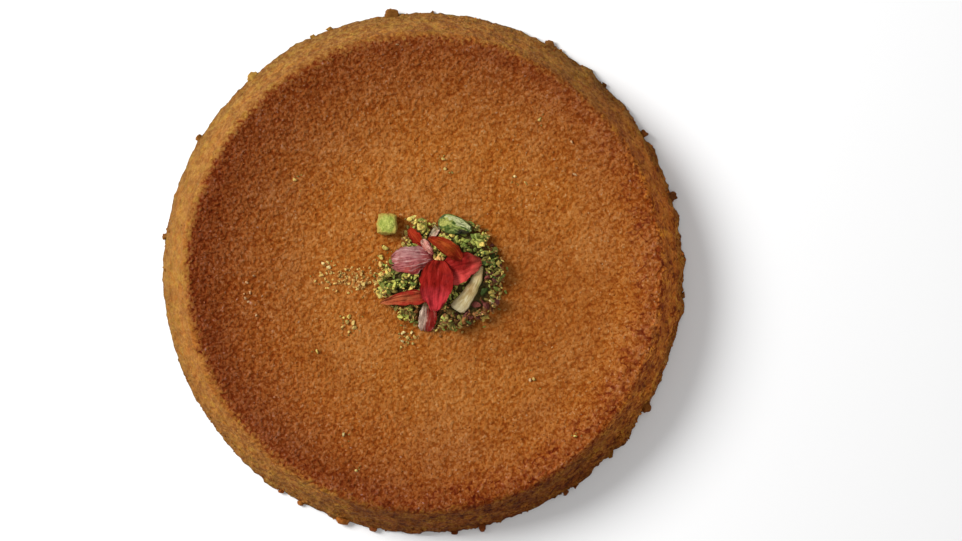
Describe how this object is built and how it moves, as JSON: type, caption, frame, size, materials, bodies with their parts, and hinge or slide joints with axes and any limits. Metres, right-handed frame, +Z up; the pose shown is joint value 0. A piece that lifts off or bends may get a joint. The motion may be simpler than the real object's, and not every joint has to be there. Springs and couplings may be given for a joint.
{
  "type": "round kunafa",
  "caption": "Whole round kunafa with a crumbly browned crust, a raised rim and a dished top, with chopped pistachio and dried rose petals in the middle.",
  "frame": {"origin": "middle of the flat underside, the bottom centre of the bounding box", "axes": "+Z up out of the dished top; +X the right and +Y the top of the usual view from above, in which the single large nut chunk lies up and left of the middle"},
  "size_m": [0.2406, 0.2403, 0.031],
  "materials": {
    "crust": "crumbly browned semolina and pastry crust, slightly moist",
    "chopped_pistachio": "chopped nut crumbs, matt",
    "pistachio": "cut nut, matt",
    "blanched_nut": "blanched nut, satin",
    "petal_red": "dried rose petal with a soft sheen",
    "petal_purple": "dried rose petal with a satin sheen",
    "petal_pale": "pale base of a dried rose petal, satin"
  },
  "bodies": {
    "root": {"kunafa": "crust", "pistachio_heap": "chopped_pistachio", "pistachio_chunk": "pistachio", "pistachio_slice": "pistachio", "nut_sliver": "blanched_nut", "petal_pale_low": "petal_pale", "petal_red_long": "petal_red", "petal_red_right": "petal_red", "petal_purple": "petal_purple", "petal_lilac": "petal_pale", "petal_red_upper": "petal_red", "petal_red_tip": "petal_red", "petal_red_middle": "petal_red", "petal_pink": "petal_pale"}
  },
  "joints": []
}
